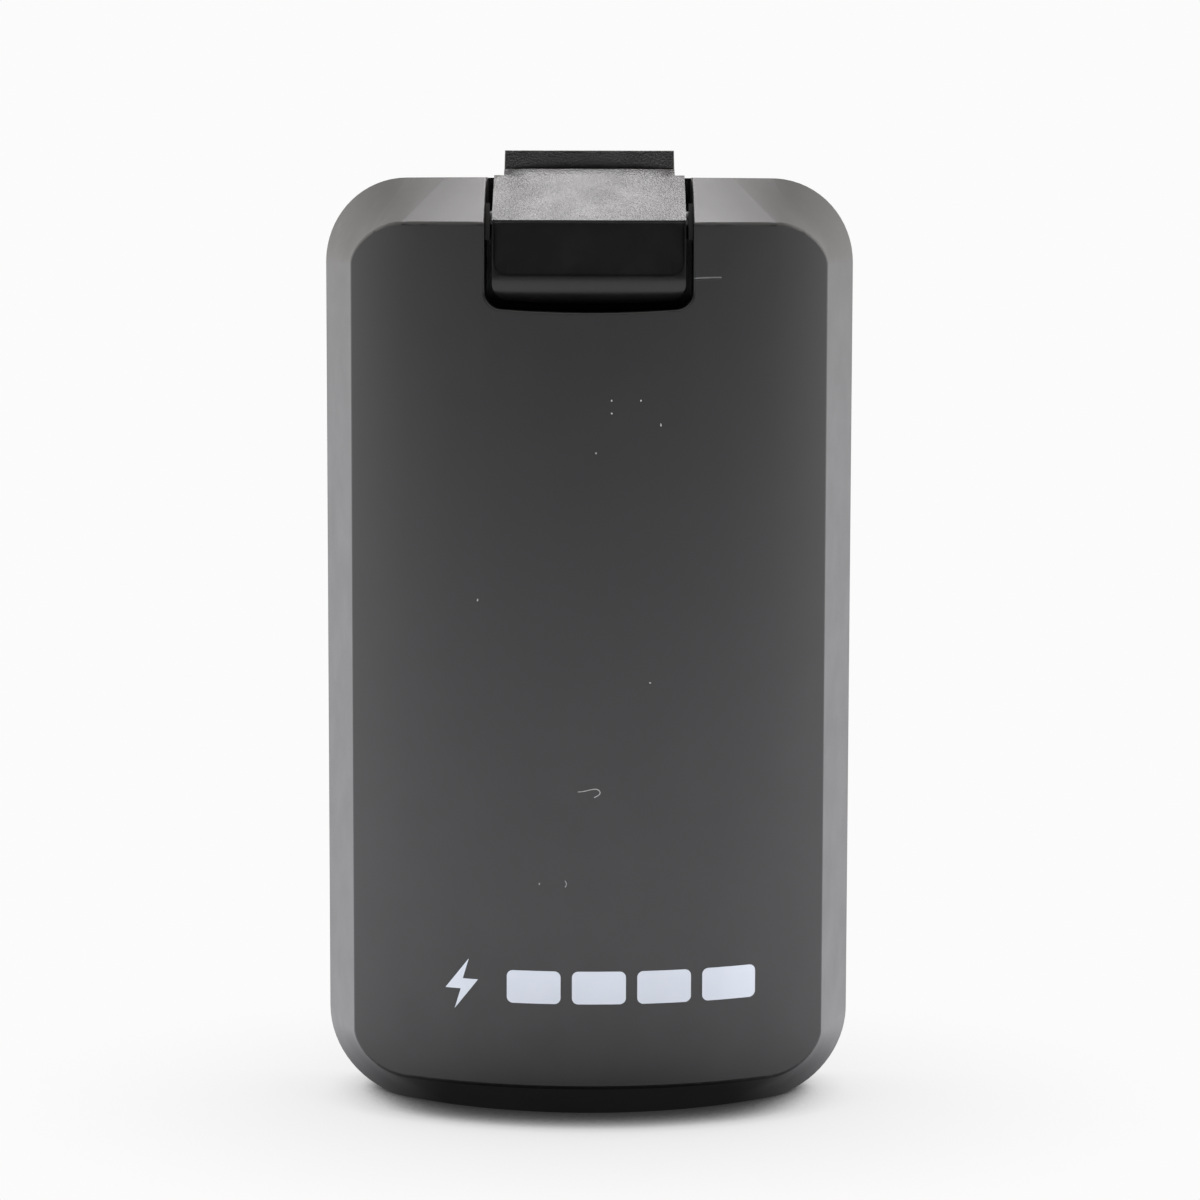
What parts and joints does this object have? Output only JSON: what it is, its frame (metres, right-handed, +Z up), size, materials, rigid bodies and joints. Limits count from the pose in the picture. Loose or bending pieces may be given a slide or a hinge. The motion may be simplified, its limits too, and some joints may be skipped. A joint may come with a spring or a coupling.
{
  "type": "flash battery pack",
  "caption": "Clip-on rechargeable battery pack for a compact camera flash, with a bulged, bevelled cover, cells and a board inside, and a sprung rocker latch on its top edge.",
  "frame": {"origin": "middle of the bounding box at the base, where the pack stands on its flat lower end", "axes": "+Z up, the bulged front faces -Y, +X to the right seen from the front"},
  "size_m": [0.0524, 0.0264, 0.0946],
  "materials": {
    "cover_plastic": "fine matte moulded texture",
    "housing_plastic": "fine matte moulded texture",
    "latch_plastic": "satin moulded texture, speckled on the band",
    "pin_steel": "ground",
    "spring_steel": "drawn wire",
    "cell_steel": "nickel-plated can",
    "cell_sleeve": "shrunk film",
    "nickel": "plated",
    "fish_paper": "pressed fibre",
    "holder_plastic": "moulded",
    "board": "solder mask",
    "chip_plastic": "moulded",
    "fuse_body": "moulded",
    "chip_ceramic": "fired",
    "led_lens": "clear epoxy",
    "clear_plastic": "polished acrylic",
    "contact_plastic": "moulded",
    "gold_contact": "gold flash",
    "wire_red": "insulation",
    "wire_black": "insulation",
    "thermistor_bead": "dipped epoxy",
    "foam": "open cell foam",
    "screw_steel": "blackened",
    "label_film": "coated film",
    "print_ink": "pad print"
  },
  "bodies": {
    "pack": {"board_fuse": "fuse_body", "case_screws": "screw_steel", "cell_can_left": "cell_steel", "cell_can_right": "cell_steel", "cell_cap_left": "nickel", "cell_cap_right": "nickel", "cell_sleeve_left": "cell_sleeve", "cell_sleeve_right": "cell_sleeve", "charge_socket": "contact_plastic", "charge_socket_pin": "nickel", "charge_socket_tails": "nickel", "contact_blades": "gold_contact", "contact_block": "contact_plastic", "control_chip": "chip_plastic", "foam_pad_left": "foam", "foam_pad_right": "foam", "front_cover": "cover_plastic", "inner_housing": "housing_plastic", "insulator_ring_left": "fish_paper", "insulator_ring_right": "fish_paper", "latch_pivot_pin": "pin_steel", "latch_spring_left": "spring_steel", "latch_spring_right": "spring_steel", "light_pipe": "clear_plastic", "lower_cell_holder": "holder_plastic", "negative_strip": "nickel", "positive_strip": "nickel", "power_transistors": "chip_plastic", "printed_mark": "print_ink", "protection_board": "board", "rating_label": "label_film", "sense_lead": "wire_red", "sense_resistor": "chip_plastic", "series_strip": "nickel", "small_chips": "chip_ceramic", "status_led": "led_lens", "thermistor": "thermistor_bead", "thermistor_lead": "wire_black", "upper_cell_holder": "holder_plastic"},
    "latch": {"latch_lever": "latch_plastic"}
  },
  "joints": [
    {"name": "latch_rock", "type": "hinge", "parent": "pack", "child": "latch", "pos_m": [0, -0.007, 0.08795], "axis": [1, 0, 0], "range_deg": [0, 8], "stiffness_Nm_per_rad": 0.02, "springref_deg": -14.32, "deforming": ["latch_spring_left", "latch_spring_right"]}
  ]
}
